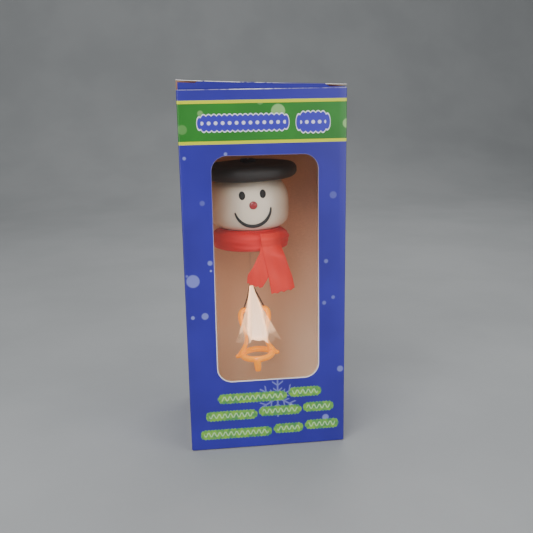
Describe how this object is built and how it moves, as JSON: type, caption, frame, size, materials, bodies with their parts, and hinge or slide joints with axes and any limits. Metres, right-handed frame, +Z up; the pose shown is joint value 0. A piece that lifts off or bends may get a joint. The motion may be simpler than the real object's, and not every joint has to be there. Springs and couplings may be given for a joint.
{
  "type": "boxed hanging light",
  "caption": "Snowman-head hanging light with hat, scarf and an amber pendant on a cord, in a windowed tuck-end carton.",
  "frame": {"origin": "centre of the carton's footprint on the surface that it stands on", "axes": "+Z up, the window faces -Y, +X to the right of someone who looks in through the window"},
  "size_m": [0.08, 0.07, 0.1854],
  "materials": {
    "printed_board": "semi-gloss printed card",
    "raw_board": "unprinted inner side",
    "clear_film": "clear film",
    "black_plastic": "satin",
    "black_rubber": "matte",
    "frosted_white": "translucent, frosted",
    "white_plastic": "satin",
    "board_green": "circuit board",
    "led_yellow": "phosphor over a chip",
    "cell_silver": "foil pouch",
    "steel": "plated",
    "face_black": "raised print",
    "nose_red": "satin",
    "scarf_red": "soft moulded, matte",
    "brown_cord": "braided",
    "amber_plastic": "translucent, glossy"
  },
  "bodies": {
    "carton": {"front_panel": "printed_board", "back_panel": "printed_board", "left_panel": "printed_board", "right_panel": "printed_board", "seam_flap": "raw_board", "window_film": "clear_film", "hanger_bridge": "raw_board", "hanger_leg_left": "raw_board", "hanger_leg_right": "raw_board", "cord_stop": "brown_cord", "light_cord": "brown_cord"},
    "top_lid": {"top_lid": "printed_board"},
    "top_tuck": {"top_tuck_flap": "printed_board"},
    "top_dust_left": {"top_dust_flap_left": "raw_board"},
    "top_dust_right": {"top_dust_flap_right": "raw_board"},
    "bottom_lid": {"bottom_lid": "printed_board"},
    "bottom_tuck": {"bottom_tuck_flap": "printed_board"},
    "bottom_dust_left": {"bottom_dust_flap_left": "raw_board"},
    "bottom_dust_right": {"bottom_dust_flap_right": "raw_board"},
    "light": {"hat": "black_plastic", "cord_grommet": "black_rubber", "usb_socket": "steel", "usb_tongue": "black_plastic", "head_bulb": "frosted_white", "twist_collar": "white_plastic", "guide_tube": "white_plastic", "base_cap": "white_plastic", "base_screw_left": "steel", "base_screw_right": "steel", "led_board": "board_green", "led_1": "led_yellow", "led_2": "led_yellow", "led_3": "led_yellow", "battery_cell": "cell_silver", "eye_left": "face_black", "eye_right": "face_black", "nose": "nose_red", "smile": "face_black", "scarf_ring": "scarf_red", "scarf_wrap": "scarf_red", "scarf_tail_left": "scarf_red", "scarf_tail_right": "scarf_red"},
    "button": {"power_button": "white_plastic"},
    "cover": {"usb_cover": "black_rubber"},
    "pendant": {"pendant_bead": "brown_cord", "pendant_strand_left": "brown_cord", "pendant_strand_right": "brown_cord", "pendant_rail_left": "amber_plastic", "pendant_rail_right": "amber_plastic", "pendant_ring": "amber_plastic", "pendant_peg_left": "amber_plastic", "pendant_peg_right": "amber_plastic", "pendant_stub": "amber_plastic", "pendant_cone": "frosted_white"}
  },
  "joints": [
    {"name": "top_lid_fold", "type": "hinge", "parent": "carton", "child": "top_lid", "pos_m": [0, 0.035, 0.182], "axis": [-1, 0, 0], "range_deg": [-2.4, 177.6]},
    {"name": "top_tuck_fold", "type": "hinge", "parent": "top_lid", "child": "top_tuck", "pos_m": [0, -0.03414, 0.1849], "axis": [-1, 0, 0], "range_deg": [-1.2, 88.8]},
    {"name": "top_dust_left_fold", "type": "hinge", "parent": "carton", "child": "top_dust_left", "pos_m": [-0.04, 0, 0.1817], "axis": [0, -1, 0], "range_deg": [-1.2, 88.8]},
    {"name": "top_dust_right_fold", "type": "hinge", "parent": "carton", "child": "top_dust_right", "pos_m": [0.04, 0, 0.1817], "axis": [0, 1, 0], "range_deg": [-1.2, 88.8]},
    {"name": "bottom_lid_fold", "type": "hinge", "parent": "carton", "child": "bottom_lid", "pos_m": [0, 0.035, 0.0005], "axis": [1, 0, 0], "range_deg": [0, 180]},
    {"name": "bottom_tuck_fold", "type": "hinge", "parent": "bottom_lid", "child": "bottom_tuck", "pos_m": [0, -0.0342, 0.0005], "axis": [1, 0, 0], "range_deg": [0, 90]},
    {"name": "bottom_dust_left_fold", "type": "hinge", "parent": "carton", "child": "bottom_dust_left", "pos_m": [-0.04, 0, 0.0008], "axis": [0, 1, 0], "range_deg": [0, 90]},
    {"name": "bottom_dust_right_fold", "type": "hinge", "parent": "carton", "child": "bottom_dust_right", "pos_m": [0.04, 0, 0.0008], "axis": [0, -1, 0], "range_deg": [0, 90]},
    {"name": "light_on_cord", "type": "slide", "parent": "carton", "child": "light", "axis": [0, 0, 1], "range_m": [-0.01, 0.015]},
    {"name": "button_press", "type": "slide", "parent": "light", "child": "button", "axis": [0, 0, -1], "range_m": [0, 0.0006], "stiffness_N_per_m": 1500, "springref_m": -0.0006},
    {"name": "cover_swing", "type": "hinge", "parent": "light", "child": "cover", "pos_m": [-0.0043, 0.0257, 0.1376], "axis": [-1, 0, 0], "range_deg": [0, 110]},
    {"name": "pendant_swing", "type": "hinge", "parent": "carton", "child": "pendant", "pos_m": [-0.0043, 0, 0.0818], "axis": [0, 1, 0], "range_deg": [-12, 12]}
  ],
  "couplings": [
    {"joint": "top_tuck_fold", "follows": "top_lid_fold", "ratio": 0.5},
    {"joint": "top_dust_left_fold", "follows": "top_lid_fold", "ratio": 0.5},
    {"joint": "top_dust_right_fold", "follows": "top_lid_fold", "ratio": 0.5},
    {"joint": "bottom_tuck_fold", "follows": "bottom_lid_fold", "ratio": 0.5},
    {"joint": "bottom_dust_left_fold", "follows": "bottom_lid_fold", "ratio": 0.5},
    {"joint": "bottom_dust_right_fold", "follows": "bottom_lid_fold", "ratio": 0.5}
  ]
}
